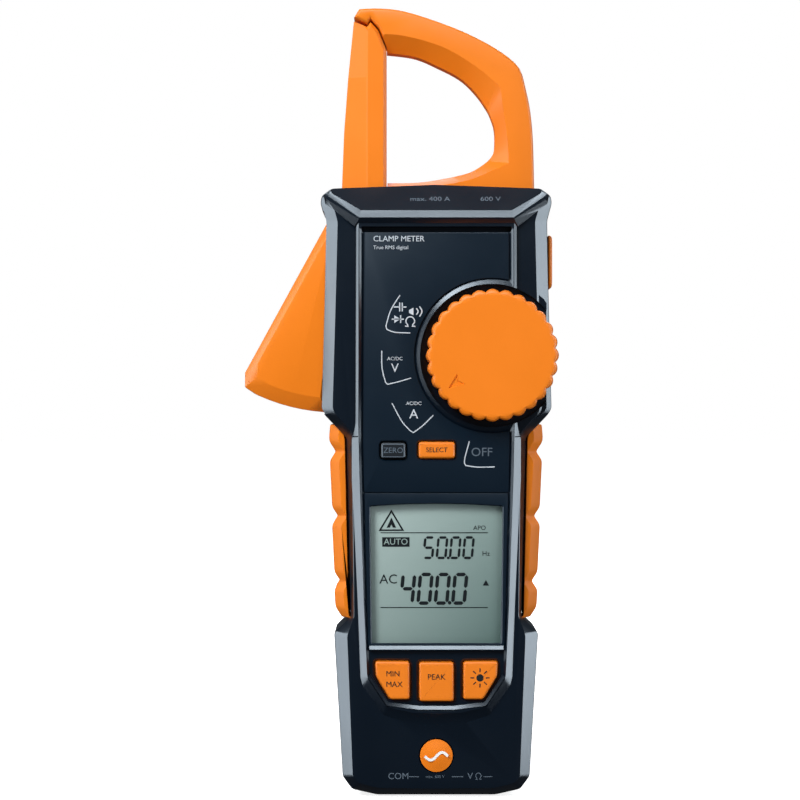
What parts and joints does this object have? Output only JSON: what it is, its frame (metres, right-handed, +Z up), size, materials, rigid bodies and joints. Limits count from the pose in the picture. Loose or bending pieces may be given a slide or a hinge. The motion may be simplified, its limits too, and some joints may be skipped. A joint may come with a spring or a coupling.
{
  "type": "hook clamp meter",
  "caption": "Hand-held electrical tester with an open hook jaw, a sliding jaw arm worked by a side squeeze lever, a rotary selector, display, keys and test sockets.",
  "frame": {"origin": "centre of the flat bottom end, between the two test sockets", "axes": "+Z up along the case towards the jaws, +X to the right as seen from the front, +Y from the front face to the back"},
  "size_m": [0.0984, 0.044, 0.249],
  "materials": {
    "case_plastic": "satin",
    "jaw_plastic": "satin",
    "grip_rubber": "matt",
    "key_rubber": "satin",
    "face_film": "satin",
    "dark_plastic": "satin",
    "clear_lens": "gloss",
    "badge_orange": "gloss",
    "lcd_glass": "satin",
    "white_plastic": "matt",
    "board": "satin",
    "silicone": "matt",
    "nylon": "satin",
    "steel": "satin",
    "core_steel": "satin",
    "copper_wire": "satin",
    "brass": "satin",
    "cell": "satin"
  },
  "bodies": {
    "case": {"front_cover": "case_plastic", "rear_cover": "case_plastic", "left_grip": "grip_rubber", "right_grip": "grip_rubber", "finger_rest": "grip_rubber", "face_plate": "face_film", "display_lens": "clear_lens", "badge": "badge_orange", "lcd_glass": "lcd_glass", "backlight": "white_plastic", "lcd_frame": "dark_plastic", "key_mat_upper": "silicone", "key_mat_lower": "silicone", "hook_front_shell": "jaw_plastic", "hook_rear_shell": "jaw_plastic", "hook_core": "core_steel", "pickup_coil": "copper_wire", "jaw_screw_1": "steel", "jaw_screw_2": "steel", "lever_pin_front": "steel", "lever_pin_rear": "steel", "gear_shaft": "steel", "detent_spring": "steel", "circuit_board": "board", "buzzer": "dark_plastic", "processor_chip": "dark_plastic", "socket_sleeve_com": "brass", "socket_sleeve_volt": "brass", "socket_block": "dark_plastic", "battery_tray": "dark_plastic", "battery_1": "cell", "battery_2": "cell", "battery_3": "cell", "battery_contact_low": "steel", "battery_contact_high": "steel", "case_screw_1": "steel", "case_screw_2": "steel", "case_screw_3": "steel", "case_screw_4": "steel"},
    "lever": {"squeeze_lever": "jaw_plastic", "return_spring": "steel"},
    "arm": {"arm_front_shell": "jaw_plastic", "arm_rear_shell": "jaw_plastic", "arm_core": "core_steel", "arm_rack": "nylon"},
    "gear": {"compound_gear": "nylon"},
    "dial": {"dial_knob": "jaw_plastic", "dial_rotor": "nylon", "dial_wiper": "brass", "dial_screw": "steel"},
    "zero_button": {"zero_key": "dark_plastic"},
    "select_button": {"select_key": "key_rubber"},
    "min_max_button": {"min_max_key": "key_rubber"},
    "peak_button": {"peak_key": "key_rubber"},
    "light_button": {"light_key": "key_rubber"},
    "door": {"battery_door": "case_plastic", "door_screw": "steel"}
  },
  "joints": [
    {"name": "lever_squeeze", "type": "hinge", "parent": "case", "child": "lever", "pos_m": [-0.0313, 0, 0.181], "axis": [0, -1, 0], "range_deg": [0, 22.5], "stiffness_Nm_per_rad": 0.4, "springref_deg": -28.65},
    {"name": "arm_slide", "type": "slide", "parent": "case", "child": "arm", "axis": [0, 0, -1], "range_m": [0, 0.047]},
    {"name": "gear_spin", "type": "hinge", "parent": "case", "child": "gear", "pos_m": [-0.0109, 0.0122, 0.13711], "axis": [0, 1, 0], "range_deg": [0, 280.5]},
    {"name": "dial_turn", "type": "hinge", "parent": "case", "child": "dial", "pos_m": [0.0173, -0.0255, 0.1384], "axis": [0, -1, 0], "range_deg": [-60, 46]},
    {"name": "zero_press", "type": "slide", "parent": "case", "child": "zero_button", "axis": [0, 1, 0], "range_m": [0, 0.0012], "stiffness_N_per_m": 600, "springref_m": -0.0008},
    {"name": "select_press", "type": "slide", "parent": "case", "child": "select_button", "axis": [0, 1, 0], "range_m": [0, 0.0012], "stiffness_N_per_m": 600, "springref_m": -0.0008},
    {"name": "min_max_press", "type": "slide", "parent": "case", "child": "min_max_button", "axis": [0, 1, 0], "range_m": [0, 0.0012], "stiffness_N_per_m": 600, "springref_m": -0.0008},
    {"name": "peak_press", "type": "slide", "parent": "case", "child": "peak_button", "axis": [0, 1, 0], "range_m": [0, 0.0012], "stiffness_N_per_m": 600, "springref_m": -0.0008},
    {"name": "light_press", "type": "slide", "parent": "case", "child": "light_button", "axis": [0, 1, 0], "range_m": [0, 0.0012], "stiffness_N_per_m": 600, "springref_m": -0.0008},
    {"name": "door_lift_off", "type": "slide", "parent": "case", "child": "door", "axis": [0, 1, 0], "range_m": [0, 0.03]}
  ],
  "couplings": [
    {"joint": "gear_spin", "follows": "lever_squeeze", "ratio": 12.444},
    {"joint": "arm_slide", "follows": "lever_squeeze", "m_per_rad": 0.11947}
  ]
}
